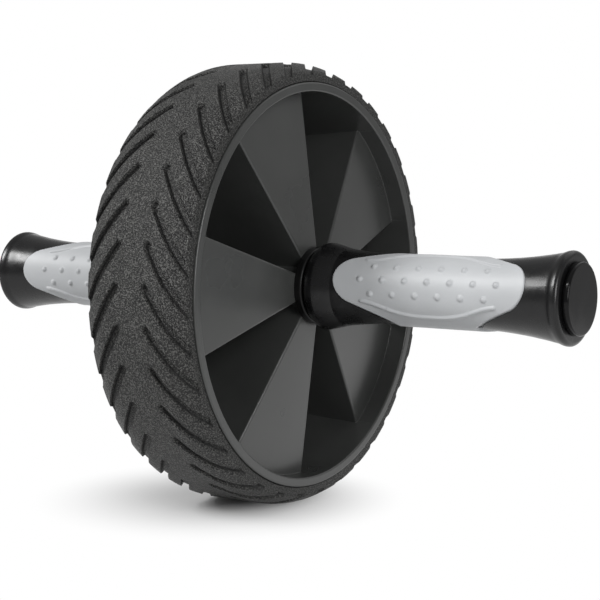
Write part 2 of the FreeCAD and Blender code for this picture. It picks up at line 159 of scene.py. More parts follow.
class TyreSettings(bpy.types.PropertyGroup):
    radius: length("Tread radius", "From the axle to the crown of the tread", (TYRE_HIGH.z - TYRE_LOW.z) / 2)
    width: length("Width", "Across the tyre, side wall to side wall", TYRE_HIGH.x - TYRE_LOW.x)
    crown_width: length("Crown width", "Flat middle of the tread", 24 * MM)
    shoulder_drop: length("Shoulder drop", "How far the round shoulder falls from the crown", 3.6 * MM)
    edge_width: length("Edge width", "Rounded edge between shoulder and side wall", 1.2 * MM)
    edge_drop: length("Edge drop", "Height of the rounded edge", 1.6 * MM)
    foot_radius: length("Foot radius", "Where the wall steps in to sit between the rim's lips", 86.75 * MM)
    foot_half: length("Foot half width", "Half the width of the foot between the rim's lips", 23.66 * MM)
    seat_radius: length("Seat radius", "Bore of the tyre on the rim", 84.43 * MM)
    groove_count: IntProperty(
        name="Grooves in a row", description="Slanted grooves round each side", default=36, min=3)
    groove_width: length("Groove width", "Across one groove", 3.4 * MM)
    groove_depth: length("Groove depth", "From the tread to the groove's floor", 1.9 * MM)
    groove_soft: length("Groove edge", "How far the groove's wall is spread by its rounded edges", 0.2 * MM)
    groove_lean: length("Groove lean", "How far the groove's wall leans in towards its floor", 0.2 * MM)
    groove_tip: length("Groove tip", "From the middle of the tread to a groove's round end", 7.3 * MM)
    groove_slant: angle("Groove slant", "Between a groove and the direction of rolling", 34)
    groove_phase: angle("Groove phase", "Where the first groove's tip stands above the front", 2.5)
    # Painted shade: how far the dark line painted on a groove's wall runs out over its floor
    painted_shade_fade: length("Dark skin", "How far a wall's dark skin runs out on the groove's floor", 0.6 * MM)
    relief: length("Skin relief", "Unevenness of the moulded foam skin", 0.16 * MM)
    relief_size: length("Relief size", "Size of the uneven places in the skin", 1.1 * MM)
    foam: colour("Foam", "Charcoal foam rubber", "1d1d1c")
    # The light crumbs are painted on the raised places of the skin: partly a random crumb tone, partly a
    # painted highlight
    crumb_light_and_highlight: colour("Light crumbs", "Paler crumbs in the skin", "525250")
    # The dark crumbs are painted in the low places of the skin and on the groove floors: partly a random
    # tone, partly painted shade
    crumb_dark_and_shade: colour("Dark crumbs", "Pores between the crumbs", "070707")
    # Painted shade: the thin dark line painted on the walls of the grooves
    groove_wall: colour("Groove walls", "Thin dark skin on the walls of the grooves", "040404")


class WheelSettings(bpy.types.PropertyGroup):
    core: colour("Wheel core", "Moulded wheel with its panels and rim", "343534")
    core_pale: colour("Wheel core, pale", "Slightly paler flow in the moulding", "3c3d3c")
    cover: colour("Hub covers", "Moulded covers round the axle", "0e0e0e")
    bush: colour("Hub bushes", "Natural acetal bearings in the hub", "d9d5c9")


class GripSettings(bpy.types.PropertyGroup):
    pad_length: length("Pad length", "Tip to tip along the handle", PAD_HIGH.x - PAD_LOW.x)
    pad_centre: length(
        "Pad centre", "From the middle of the wheel to the middle of a pad", (PAD_LOW.x + PAD_HIGH.x) / 2)
    waist_radius: length("Waist radius", "Grip body at its slimmest", 14.25 * MM)
    waist_length: length("Waist length", "Straight middle of the grip body", 32 * MM)
    flare_radius: length("Flare radius", "Curve of the grip body towards its ends", 192 * MM)
    crest_width: length("Crest width", "Width that the leaf outline would have in the middle", 41.3 * MM)
    tip_width: length("Tip width", "Leaf width where its round tip starts", 19 * MM)
    tip_length: length("Tip length", "Length of the round tip", 6.5 * MM)
    proud: length("Pad proud", "How far the pad stands over the body", 0.8 * MM)
    recess: length("Pad recess", "How deep the pad sits in the body", 1.17 * MM)
    edge: length("Pad edge", "Rounding of the pad's outline", 0.7 * MM)
    turn_right: angle("Right pad turn", "How far the right pad's leaf is turned up from the front", 19)
    turn_left: angle("Left pad turn", "How far the left pad's leaf is turned up from the front", 9)
    dot_diameter: length("Dot diameter", "Raised dots on the pads", 2.7 * MM)
    dot_height: length("Dot height", "How far the dots stand out", 0.85 * MM)
    dot_spacing: length("Dot spacing", "Along a row of dots", 10.3 * MM)
    dot_row: angle("Dot row turn", "Between the middle row of dots and its neighbours", 22.4)
    ridge_width: length("Ridge width", "Raised lines beside the dots", 1.9 * MM)
    ridge_height: length("Ridge height", "How far the lines stand out", 0.7 * MM)
    body: colour("Grip body", "Black moulded body", "0d0d0e")
    pad: colour("Pad", "Grey soft rubber", "a9abad")
    pad_pale: colour("Pad, pale", "Paler cloud in the rubber", "b4b6b8")
    cap: colour("End cap", "Polished black cap", "09090a")
    core: colour("Handle core", "Stiff tube under the grip", "2c2c2c")
    steel: colour("Steel", "Axle, bolts and washers", "b9b8b2")


class StudioSettings(bpy.types.PropertyGroup):
    backdrop: colour("Backdrop", "Colour of the surroundings", "ffffff")
    floor: colour("Floor", "Colour of the paper under the roller, where it takes the shadow", "c8c8c8")
    paper: length("Paper", "Width of the sheet of pale grey paper under the roller", 1400 * MM)
    shadow_place: place("Shadow place", "Middle of the shadow that the paper keeps", (-0.018, -0.0125, 0))
    shadow_core: length("Shadow core", "Round its middle, where the paper shows as it is", 12 * MM)
    shadow_reach: length("Shadow reach", "From its middle to where the paper turns white", 84 * MM)
    surround: FloatProperty(
        name="Surround light", description="Soft light from all round the room", default=0.37, min=0)
    key_power: power("Key lamp", "Soft box in front of the left grip", 24)
    key_width: length("Key width", "Across the key lamp", 500 * MM)
    key_height: length("Key height", "From the top to the bottom of the key lamp", 600 * MM)
    key_place: place("Key place", "Where the key lamp hangs", (-0.85, -1.05, 1.12))
    side_power: power("Side lamp", "Soft box on the wheel's side", 9.5)
    side_width: length("Side width", "Across the side lamp", 500 * MM)
    side_height: length("Side height", "From the top to the bottom of the side lamp", 700 * MM)
    side_place: place("Side place", "Where the side lamp hangs", (1.1, -0.7, 0.5))
    back_power: power("Back lamp", "Large weak soft box behind", 2.5)
    back_width: length("Back width", "Across the back lamp", 1200 * MM)
    back_height: length("Back height", "From the top to the bottom of the back lamp", 1200 * MM)
    back_place: place("Back place", "Where the back lamp hangs", (0.3, 0.95, 1.1))
    azimuth: angle("Camera azimuth", "Camera's turn from the axle towards the front", 55.4102)
    elevation: angle("Camera elevation", "Camera's height over the axle", 4.45415)
    distance: length("Camera distance", "From the wheel's centre", 677.88 * MM)
    pan: angle("Camera pan", "Turn of the camera off the wheel's centre", 1.17753)
    tilt: angle("Camera tilt", "Tilt of the camera off the wheel's centre", 0.634581)
    lens: FloatProperty(name="Lens", description="Focal length on a 36 mm sensor", default=92.907, min=1)


# Nodes and meshes


def add(tree, kind, values=None):
    """Adds a node. A socket, or a node's first output, is linked to its input, and other values are set."""
    node = tree.nodes.new(kind)
    for key, value in (values or {}).items():
        if isinstance(value, bpy.types.Node):
            tree.links.new(value.outputs[0], node.inputs[key])
        elif isinstance(value, bpy.types.NodeSocket):
            tree.links.new(value, node.inputs[key])
        elif isinstance(key, str) and hasattr(node, key):
            setattr(node, key, value)
        else:
            node.inputs[key].default_value = value
    return node


def calculate(tree, operation, first, second):
    """Adds a calculation with two numbers, each plain or out of another node."""
    return add(tree, "ShaderNodeMath", {"operation": operation, 0: first, 1: second})


def noise(tree, where, size, detail, roughness=0.5):
    """Adds a noise with grains of a size."""
    return add(tree, "ShaderNodeTexNoise", {
        "Scale": 1 / size, "Detail": detail, "Roughness": roughness, "Vector": where})


def remap(tree, value, low, high, least=0, most=1, curve="LINEAR"):
    """Adds a range that goes from least to most while the value goes from low to high."""
    return add(tree, "ShaderNodeMapRange", {
        "interpolation_type": curve, "From Min": low, "From Max": high, "To Min": least, "To Max": most,
        "Value": value})


def blend(tree, share, first, second):
    """Adds a mix of two colours, each plain or out of another mix, and gives its colour."""
    # For colours the mix node has its share at input 0, its colours at 6 and 7, and its result at output 2
    return add(tree, "ShaderNodeMix", {"data_type": "RGBA", 0: share, 6: first, 7: second}).outputs[2]


def new_finish(name):
    """Starts a material and gives its tree and the object's own coordinates."""
    material = bpy.data.materials.new(name)
    material.use_nodes = True
    material.node_tree.nodes.clear()
    return material, material.node_tree, add(material.node_tree, "ShaderNodeTexCoord").outputs["Object"]


def close_finish(tree, values):
    """Ends a material in its shader and output."""
    add(tree, "ShaderNodeOutputMaterial", {"Surface": add(tree, "ShaderNodeBsdfPrincipled", values)})


def new_tree(name, inputs):
    """Starts a Geometry Nodes tree with named inputs, and gives their identifiers and sockets."""
    tree = bpy.data.node_groups.new(name, "GeometryNodeTree")
    tree.interface.new_socket("Geometry", in_out="INPUT", socket_type="NodeSocketGeometry")
    keys = {}
    for label, kind in inputs.items():
        keys[label] = tree.interface.new_socket(label, in_out="INPUT", socket_type=kind).identifier
    tree.interface.new_socket("Geometry", in_out="OUTPUT", socket_type="NodeSocketGeometry")
    return tree, keys, add(tree, "NodeGroupInput").outputs


def push_out(tree, geometry, height):
    """Adds what moves a surface out along its normals."""
    facing = add(tree, "GeometryNodeInputNormal")
    rise = add(tree, "ShaderNodeVectorMath", {"operation": "SCALE", 0: facing, "Scale": height})
    return add(tree, "GeometryNodeSetPosition", {"Geometry": geometry, "Offset": rise})


def close_tree(tree, geometry, material):
    """Ends a Geometry Nodes tree: smooth shading, real geometry and its material."""
    smooth = add(tree, "GeometryNodeSetShadeSmooth", {"Geometry": geometry})
    solid = add(tree, "GeometryNodeRealizeInstances", {"Geometry": smooth})
    clad = add(tree, "GeometryNodeSetMaterial", {"Geometry": solid, "Material": material})
    add(tree, "NodeGroupOutput", {"Geometry": clad})


def new_piece(name, points, faces=(), edges=()):
    """Makes a mesh object at the origin from points in metres."""
    mesh = bpy.data.meshes.new(name)
    mesh.from_pydata([tuple(p) for p in points], list(edges), list(faces))
    piece = bpy.data.objects.new(name, mesh)
    bpy.context.scene.collection.objects.link(piece)
    return piece


def grow(piece, tree, keys, values):
    """Runs a tree on a piece and keeps what it makes as the piece's plain mesh."""
    modifier = piece.modifiers.new(tree.name, "NODES")
    modifier.node_group = tree
    for label, value in values.items():
        modifier[keys[label]] = value
    graph = bpy.context.evaluated_depsgraph_get()
    made = bpy.data.meshes.new_from_object(piece.evaluated_get(graph), depsgraph=graph)
    if len(made.polygons) == 0:
        raise RuntimeError(tree.name + " made no faces")
    piece.modifiers.remove(modifier)
    start, piece.data = piece.data, made
    bpy.data.meshes.remove(start)
    bpy.data.node_groups.remove(tree)


def close_shell(piece):
    """Merges doubled points and turns the faces outwards."""
    shell = bmesh.new()
    shell.from_mesh(piece.data)
    bmesh.ops.remove_doubles(shell, verts=shell.verts, dist=MERGE_REACH)
    bmesh.ops.dissolve_degenerate(shell, edges=shell.edges, dist=NO_LENGTH)
    bmesh.ops.recalc_face_normals(shell, faces=shell.faces)
    shell.to_mesh(piece.data)
    shell.free()


def dress(material, *nodes):
    """Gives CAD nodes a material."""
    for name in nodes:
        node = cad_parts[name]
        if not node.material_slots:
            node.data.materials.append(material)
        for slot in node.material_slots:
            slot.material = material


# Materials


def foam_rubber(settings):
    # Foam rubber, moulded with a crumbed skin: charcoal, with crumbs of random tone, painted paler on the
    # raised crumbs and darker in the pores as painted highlight and painted shade.
    # The groove walls are painted with a thin dark line, and the groove floors a little darker too, as
    # painted shade.
    # The crumbs are 0.4 mm on the real skin and are drawn at 0.6 mm so that they show.
    material, tree, where = new_finish("foam_rubber_moulded_crumb")
    crumb = noise(tree, where, size=0.6 * MM, detail=0.8, roughness=0.6)
    cloud = noise(tree, where, size=12 * MM, detail=2)
    wall = add(tree, "ShaderNodeAttribute", {"attribute_name": "groove_wall"}).outputs["Fac"]
    floor = add(tree, "ShaderNodeAttribute", {"attribute_name": "groove_floor"}).outputs["Fac"]
    uneven = remap(tree, cloud, NOISE_LOW, NOISE_HIGH, most=0.2)
    # Darker in the pores and paler on the raised crumbs: painted shade and painted highlight that follow the
    # bump's relief
    pores = remap(tree, crumb, low=0.52, high=0.36)
    tops = remap(tree, crumb, low=0.49, high=0.66)
    # Painted shade: groove floors painted a little darker, and a thin ragged dark line painted on the groove
    # walls
    sunk = remap(tree, floor, low=0, high=1, most=0.1)
    ragged_wall_shade = remap(tree, calculate(tree, "ADD", wall, crumb), low=1.12, high=1.38)
    skin = blend(tree, uneven, settings.foam, settings.crumb_dark_and_shade)
    for share, layer in ((pores, settings.crumb_dark_and_shade), (tops, settings.crumb_light_and_highlight),
                         (sunk, settings.crumb_dark_and_shade), (ragged_wall_shade, settings.groove_wall)):
        skin = blend(tree, share, skin, layer)
    grain = add(tree, "ShaderNodeBump", {"Strength": 1, "Distance": 0.7 * MM, "Height": crumb})
    close_finish(tree, {"Roughness": 0.48, "Specular IOR Level": 0.36, "Base Color": skin, "Normal": grain})
    return material


def moulded_plastic(name, dark, pale, rough, cloud, grain, relief, level=0.5, edge=0):
    """A moulding: cloudy gloss over a fine skin. With an edge size its edges are rounded in their shading."""
    material, tree, where = new_finish(name)
    flow = noise(tree, where, cloud, detail=3)
    tone = blend(tree, remap(tree, flow, NOISE_LOW, NOISE_HIGH), dark, pale)
    gloss = remap(tree, flow, NOISE_LOW, NOISE_HIGH, *rough)
    skin = add(tree, "ShaderNodeBump", {
        "Strength": relief, "Distance": SKIN_DEPTH, "Height": noise(tree, where, grain, detail=2)})
    if edge:
        rounded = add(tree, "ShaderNodeBevel", {"samples": 6, "Radius": edge})
        tree.links.new(rounded.outputs["Normal"], skin.inputs["Normal"])
    close_finish(tree, {
        "IOR": 1.5, "Specular IOR Level": level, "Base Color": tone, "Roughness": gloss, "Normal": skin})
    return material


def wheel_plastic(settings):
    # ABS, moulded in a semi-polished mould: dark grey, with a broad soft gloss and bright edges
    return moulded_plastic(
        "abs_moulded_satin", settings.core, settings.core_pale, rough=(0.26, 0.34),
        cloud=30 * MM, grain=1.2 * MM, relief=0.02, level=0.6, edge=0.6 * MM)


def cover_plastic(settings):
    # ABS, moulded in a polished mould: black covers with an even gloss
    return moulded_plastic(
        "abs_moulded_gloss", settings.cover, settings.cover, rough=(0.3, 0.38),
        cloud=12 * MM, grain=0.4 * MM, relief=0.04, level=0.2)


def bush_plastic(settings):
    # Acetal, moulded natural: milky and waxy, in the hub where the axle runs
    return moulded_plastic(
        "acetal_moulded_natural", settings.bush, settings.bush, rough=(0.32, 0.4),
        cloud=6 * MM, grain=0.4 * MM, relief=0.05)


def grip_plastic(settings):
    # Polypropylene, moulded in a spark-eroded mould: black with a satin skin that spreads the highlights
    return moulded_plastic(
        "polypropylene_moulded_satin", settings.body, settings.body, rough=(0.22, 0.34),
        cloud=6 * MM, grain=0.5 * MM, relief=0.2, level=0.4)


def cap_plastic(settings):
    # ABS, moulded in a polished mould: deep black with a clear shine on its rim
    return moulded_plastic(
        "abs_moulded_polished", settings.cap, settings.cap, rough=(0.1, 0.18),
        cloud=10 * MM, grain=0.6 * MM, relief=0.02, level=0.2, edge=0.4 * MM)


def core_plastic(settings):
    # Glass filled nylon, moulded: dull dark grey with a fibrous skin, under the grip
    return moulded_plastic(
        "nylon_glass_filled_moulded", settings.core, settings.core, rough=(0.45, 0.6),
        cloud=5 * MM, grain=0.5 * MM, relief=0.25)


def soft_rubber(settings):
    # Thermoplastic rubber, moulded in an etched mould: even grey, matte with a soft sheen and a fine tooth.
    # The etched tooth is 0.1 mm on the real pad and is drawn at 0.4 mm so that it shows.
    material, tree, where = new_finish("thermoplastic_rubber_moulded_matte")
    cloud = noise(tree, where, size=14 * MM, detail=2)
    tooth = noise(tree, where, size=0.4 * MM, detail=2)
    tone = blend(tree, cloud, settings.pad, settings.pad_pale)
    gloss = remap(tree, tooth, low=0, high=1, least=0.4, most=0.5)
    relief = add(tree, "ShaderNodeBump", {"Strength": 0.16, "Distance": SKIN_DEPTH, "Height": tooth})
    close_finish(tree, {
        "Specular IOR Level": 0.4, "Sheen Weight": 0.06, "Sheen Roughness": 0.5,
        "Base Color": tone, "Roughness": gloss, "Normal": relief})
    return material


def turned_steel(settings):
    # Steel, turned and zinc plated: fine rings from the lathe and a broken shine.
    # The rings are 0.1 mm apart on the real rod and are drawn at 0.3 mm so that they show.
    material, tree, where = new_finish("steel_turned_zinc_plated")
    ring_gap, ring_run = 0.3 * MM, 20 * MM
    along = add(tree, "ShaderNodeMapping", {
        "Scale": (1 / ring_gap, 1 / ring_run, 1 / ring_run), "Vector": where})
    rings = noise(tree, along, size=1, detail=3)
    gloss = remap(tree, rings, low=0, high=1, least=0.26, most=0.46)
    relief = add(tree, "ShaderNodeBump", {"Strength": 0.2, "Distance": 0.03 * MM, "Height": rings})
    close_finish(tree, {"Base Color": settings.steel, "Metallic": 1, "Roughness": gloss, "Normal": relief})
    return material


# Shapes


def clamp(value):
    return min(max(value, 0), 1)


def smooth_step(value):
    part = clamp(value)
    return part * part * (3 - 2 * part)


def tyre_half_section(settings):
    """Half the tyre's section, from the crown to the foot: place across, radius and groove floor."""
    half, crown, tip = settings.width / 2, settings.crown_width / 2, settings.groove_tip
    side = half - settings.edge_width
    low = settings.radius - settings.shoulder_drop
    bend = ((side - crown) ** 2 + settings.shoulder_drop ** 2) / (2 * settings.shoulder_drop)
    near = tip - settings.groove_width * TIP_LEAD
    across = [0, near / 2]
    across += list(np.linspace(near, tip, TIP_POINTS))[:-1]
    across += list(np.linspace(tip, crown, CROWN_POINTS))[:-1]
    rows = [(x, settings.radius, settings.radius - settings.groove_depth) for x in across]
    for x in np.linspace(crown, side, SHOULDER_POINTS):
        radius = settings.radius - bend + math.sqrt(bend ** 2 - (x - crown) ** 2)
        rows.append((x, radius, radius - settings.groove_depth))
    floor, foot = low - settings.groove_depth, settings.foot_radius
    for turn in np.linspace(0, math.pi / 2, EDGE_POINTS)[1:]:
        x = side + settings.edge_width * math.sin(turn)
        rows.append((x, low - settings.edge_drop * (1 - math.cos(turn)), floor))
    wall = np.linspace(low - settings.edge_drop, foot, WALL_POINTS)[1:-1]
    rows += [(half, radius, floor) for radius in (*wall, foot + CORNER_ROW, foot)]
    rows += [(settings.foot_half, radius, floor) for radius in (foot, settings.seat_radius)]
    return rows


def tread_pitch(settings):
    """One pitch of the tyre: its columns lean with the grooves, so that the groove walls run clean."""
    right = tyre_half_section(settings)
    rows = [(-x, radius, floor) for x, radius, floor in right[:0:-1]] + right
    pitch = 2 * math.pi / settings.groove_count * settings.radius
    slant, soft, lean = settings.groove_slant, settings.groove_soft, settings.groove_lean
    half_groove = settings.groove_width / 2
    beside = [share * (half_groove / math.sin(slant)) for share in GROOVE_COLUMNS]
    columns = [-pitch / 2] + [-shift for shift in beside[:0:-1]] + beside + [pitch / 2]
    points, faces, walls, floors = [], [], [], []
    for x, radius, floor in rows:
        beyond = abs(x) - settings.groove_tip
        for shift in columns:
            around = shift - max(beyond, 0) / math.tan(slant)
            along = beyond * math.sin(slant) - around * math.cos(slant)
            aside = beyond * math.cos(slant) + around * math.sin(slant)
            reach = (abs(aside) if along > 0 else math.hypot(beyond, around)) - half_groove
            sunk = smooth_step((soft - reach) / (2 * soft + lean)) if radius > floor else 0
            # Painted shade: how dark a groove's wall is painted, fading out over its floor, and how far a
            # point is sunk, which paints the floor darker
            walls.append(sunk * (1 - clamp((-reach - soft - lean) / settings.painted_shade_fade)))
            floors.append(sunk)
            surface = radius - sunk * (radius - floor)
            turn = settings.groove_phase + around / settings.radius
            points.append((x, -surface * math.cos(turn), surface * math.sin(turn)))
    wide = len(columns)
    for i in range(len(rows)):
        below = (i + 1) % len(rows)
        for j in range(wide - 1):
            faces.append((i * wide + j, i * wide + j + 1, below * wide + j + 1, below * wide + j))
    return points, faces, {"groove_wall": walls, "groove_floor": floors}


def tread_tree():
    """Repeats the tread pitch round the axle and roughens the moulded skin."""
    tree, keys, given = new_tree("Tread round the axle", {
        "Grooves": "NodeSocketInt", "Axle Height": "NodeSocketFloat", "Relief": "NodeSocketFloat",
        "Grain": "NodeSocketFloat", "Material": "NodeSocketMaterial"})
    spots = add(tree, "GeometryNodePoints", {"Count": given["Grooves"]})
    step = calculate(tree, "DIVIDE", 2 * math.pi, given["Grooves"])
    turn = calculate(tree, "MULTIPLY", add(tree, "GeometryNodeInputIndex"), step)
    around = add(tree, "ShaderNodeCombineXYZ", {"X": turn})
    ring = add(tree, "GeometryNodeInstanceOnPoints", {
        "Points": spots, "Instance": given["Geometry"], "Rotation": around})
    real = add(tree, "GeometryNodeRealizeInstances", {"Geometry": ring})
    whole = add(tree, "GeometryNodeMergeByDistance", {"Distance": SEAM_REACH, "Geometry": real})
    where = add(tree, "GeometryNodeInputPosition")
    skin = add(tree, "ShaderNodeTexNoise", {"Detail": 1, "Scale": given["Grain"], "Vector": where})
    height = calculate(tree, "MULTIPLY", calculate(tree, "SUBTRACT", skin, NOISE_MIDDLE), given["Relief"])
    rough = push_out(tree, whole, height)
    lift = add(tree, "ShaderNodeCombineXYZ", {"Z": given["Axle Height"]})
    raised = add(tree, "GeometryNodeSetPosition", {"Geometry": rough, "Offset": lift})
    close_tree(tree, raised, given["Material"])
    return tree, keys


def grip_radius(settings, along):
    """Radius of the grip body at distances from the middle of the pad."""
    run = np.maximum(np.abs(along) - settings.waist_length / 2, 0)
    return settings.waist_radius + settings.flare_radius - np.sqrt(settings.flare_radius ** 2 - run ** 2)


def pad_radius(settings, along):
    """Radius of a pad's outer face at distances from its middle."""
    return grip_radius(settings, along) + settings.proud


def leaf_tip(settings):
    """Half a leaf's length, the place where its round tip starts, and the radius of the tip."""
    half, tip = settings.pad_length / 2, settings.tip_width / 2
    arc = (tip ** 2 + settings.tip_length ** 2) / (2 * settings.tip_length)
    return half, half - settings.tip_length, arc


def leaf_half_width(settings, along):
    """Half the width of a leaf's outline at distances from the middle of the pad."""
    along = np.abs(along)
    half, neck, arc = leaf_tip(settings)
    crest, tip = settings.crest_width / 2, settings.tip_width / 2
    straight = crest - (crest - tip) * along / neck
    rounded = np.sqrt(np.maximum(arc ** 2 - (along - half + arc) ** 2, 0))
    return np.where(along > neck, rounded, straight)


def leaf_half_turn(settings, along, radius):
    """Half the turn that a leaf takes up round the handle, at distances along it and radii."""
    return np.arcsin(np.minimum(leaf_half_width(settings, along) / radius, 1))


def pad_rows(settings):
    """Rows along half a pad: its ring, up to where the two leaves part, and a leaf's flank and round tip."""
    half, neck, arc = leaf_tip(settings)
    tried = np.linspace(0, neck, PARTING_POINTS)
    parted = leaf_half_width(settings, tried) <= pad_radius(settings, tried)
    parting = tried[np.argmax(parted)]
    turn = np.linspace(math.acos((neck - half + arc) / arc), 0, TIP_ROWS)
    tip = half - arc + arc * np.cos(turn)
    return np.linspace(0, parting, RING_ROWS), np.linspace(parting, neck, FLANK_ROWS), tip


def around_handle(centre, along, turn, radius):
    """Points on a handle, from distances along it, turns up from the front and radii."""
    return np.stack([
        centre + along + 0 * turn, -radius * np.cos(turn), AXLE_HEIGHT + radius * np.sin(turn)], -1)


def edge_fall(settings, rows, turns):
    """How far a pad's outer face falls off near its outline, at rows along it and turns round it."""
    _, flank, tip = pad_rows(settings)
    outline = np.concatenate([
        np.linspace(flank[0], flank[-1], FLANK_OUTLINE_POINTS),
        tip[-1] - (tip[-1] - tip[0]) * np.linspace(1, 0, TIP_OUTLINE_POINTS) ** 2])
    radius = pad_radius(settings, outline)
    half_turn = leaf_half_turn(settings, outline, radius)
    edges = [point for side in (-1, 1) for end in (-1, 1)
             for point in around_handle(0, end * outline, side * half_turn, radius)]
    nearest = KDTree(len(edges))
    for point in edges:
        nearest.insert(point, 0)
    nearest.balance()
    face = around_handle(0, rows[:, None], turns, pad_radius(settings, rows)[:, None])
    reach = np.array([[nearest.find(point)[2] for point in row] for row in face])
    inside = np.clip(settings.edge - reach, 0, settings.edge)
    return settings.edge - np.sqrt(settings.edge ** 2 - inside ** 2)


def pad_shell(settings, centre, lean):
    """A pad as a closed shell: a ring round the waist that parts into two leaves at each end."""
    ring, flank, tip = pad_rows(settings)
    half_rows = np.concatenate([ring[:-1], flank[:-1], tip])
    rows = np.concatenate([-half_rows[:0:-1], half_rows])
    in_ring = np.abs(rows) <= flank[0] + ROUNDING
    in_leaf = np.abs(rows) >= flank[0] - ROUNDING
    outer = pad_radius(settings, rows)
    inner = grip_radius(settings, rows) - settings.recess
    over = np.where(in_ring, math.pi / 2, leaf_half_turn(settings, rows, outer))
    under = np.where(in_ring, math.pi / 2, np.minimum(leaf_half_turn(settings, rows, inner), UNDER_LIMIT))
    even = np.linspace(-1, 1, TOP_COLUMNS)
    many = (1 - CROWDING) * even + CROWDING * np.sin(even * math.pi / 2)
    few = np.linspace(-1, 1, UNDER_COLUMNS)
    tops = over[:, None] * many
    fall = edge_fall(settings, rows, tops)
    points, faces = [], []
    for leaf in (lean, lean + math.pi):
        first = len(points)
        top = around_handle(centre, rows[:, None], leaf + tops, outer[:, None] - fall)
        points += list(top.reshape(-1, 3))
        base = len(points)
        bottom = around_handle(centre, rows[:, None], leaf + under[:, None] * few, inner[:, None])
        points += list(bottom.reshape(-1, 3))
        for i in range(len(rows) - 1):
            for start, count, flip in ((first, len(many), False), (base, len(few), True)):
                for j in range(count - 1):
                    corner = start + i * count + j
                    face = (corner, corner + count, corner + count + 1, corner + 1)
                    faces.append(face[::-1] if flip else face)
            if in_leaf[i] and in_leaf[i + 1]:
                for j, k in ((0, 0), (len(many) - 1, len(few) - 1)):
                    high, low = first + i * len(many) + j, base + i * len(few) + k
                    face = (high, low, low + len(few), high + len(many))
                    faces.append(face if j == 0 else face[::-1])
    return points, faces


def dots_and_ridges(settings, centre, lean):
    """Where a pad's dots stand and its ridges run, as points and lines on the pad's surface."""
    dots, lines, edges = [], [], []
    path_along, path_turn = np.transpose(RIDGE_PATH)
    along = np.linspace(-path_along[-1], path_along[-1], RIDGE_POINTS)
    turn = np.radians(np.interp(np.abs(along), path_along, path_turn))
    shares = np.ones(RIDGE_ROUNDING) / RIDGE_ROUNDING
    turn = np.convolve(np.pad(turn, RIDGE_ROUNDING // 2, mode="edge"), shares, mode="valid")
    run = along * MM
    for leaf in (lean, lean + math.pi):
        for row, count in DOT_ROWS:
            spots = (np.arange(count) - (count - 1) / 2) * settings.dot_spacing
            dots += list(around_handle(
                centre, spots, leaf + row * settings.dot_row, pad_radius(settings, spots)))
        for side in (-1, 1):
            start = len(lines)
            lines += list(around_handle(centre, run, leaf + side * turn, pad_radius(settings, run)))
            edges += [(start + i, start + i + 1) for i in range(len(run) - 1)]
    return dots, lines, edges


def pad_tree():
    """Raises domed dots and ridges out of a pad."""
    tree, keys, given = new_tree("Dots and ridges on the pad", {
        "Dots": "NodeSocketObject", "Ridges": "NodeSocketObject", "Dot Radius": "NodeSocketFloat",
        "Dot Height": "NodeSocketFloat", "Ridge Half Width": "NodeSocketFloat",
        "Ridge Height": "NodeSocketFloat", "Material": "NodeSocketMaterial"})
    lifts = []
    for label, target, size, height in (("Dots", "POINTS", "Dot Radius", "Dot Height"),
                                        ("Ridges", "EDGES", "Ridge Half Width", "Ridge Height")):
        guide = add(tree, "GeometryNodeObjectInfo", {"transform_space": "RELATIVE", "Object": given[label]})
        near = add(tree, "GeometryNodeProximity", {"target_element": target, 0: guide.outputs["Geometry"]})
        part = calculate(tree, "DIVIDE", near.outputs["Distance"], given[size])
        part.use_clamp = True
        under = calculate(tree, "SUBTRACT", 1, calculate(tree, "POWER", part, 2))
        dome = calculate(tree, "POWER", under, DOME_POWER)
        lifts.append(calculate(tree, "MULTIPLY", dome, given[height]))
    raised = push_out(tree, given["Geometry"], calculate(tree, "MAXIMUM", *lifts))
    close_tree(tree, raised, given["Material"])
    return tree, keys


# Studio


def out_from_wheel(turn, rise):
    """A direction out from the wheel, at a turn from the axle towards the front and a rise over it."""
    return Vector((math.cos(turn) * math.cos(rise), -math.sin(turn) * math.cos(rise), math.sin(rise)))


def seen_by(tree):
    """Adds what tells whether a surface is seen, straight or in a shiny piece, and whether by the camera."""
    path = add(tree, "ShaderNodeLightPath")
    by_camera = path.outputs["Is Camera Ray"]
    seen = calculate(tree, "MAXIMUM", by_camera, path.outputs["Is Glossy Ray"])
    return calculate(tree, "MAXIMUM", seen, path.outputs["Is Transmission Ray"]), by_camera


def studio_paper(settings):
    # Paper, pressed and matte: pale grey near the wheel, where it takes the shadow, and it runs out
    # into the white of the backdrop.
    material, tree, where = new_finish("paper_pressed_matte")
    seen, _ = seen_by(tree)
    away = add(tree, "ShaderNodeVectorMath", {"operation": "DISTANCE", 0: where, 1: settings.shadow_place})
    far = remap(tree, away.outputs["Value"], settings.shadow_core, settings.shadow_reach, curve="SMOOTHSTEP")
    sheet = add(tree, "ShaderNodeBsdfDiffuse", {"Color": settings.floor})
    glow = add(tree, "ShaderNodeEmission", {"Color": settings.backdrop, "Strength": 1})
    mixed = add(tree, "ShaderNodeMixShader", {0: calculate(tree, "MULTIPLY", seen, far), 1: sheet, 2: glow})
    add(tree, "ShaderNodeOutputMaterial", {"Surface": mixed})
    return material


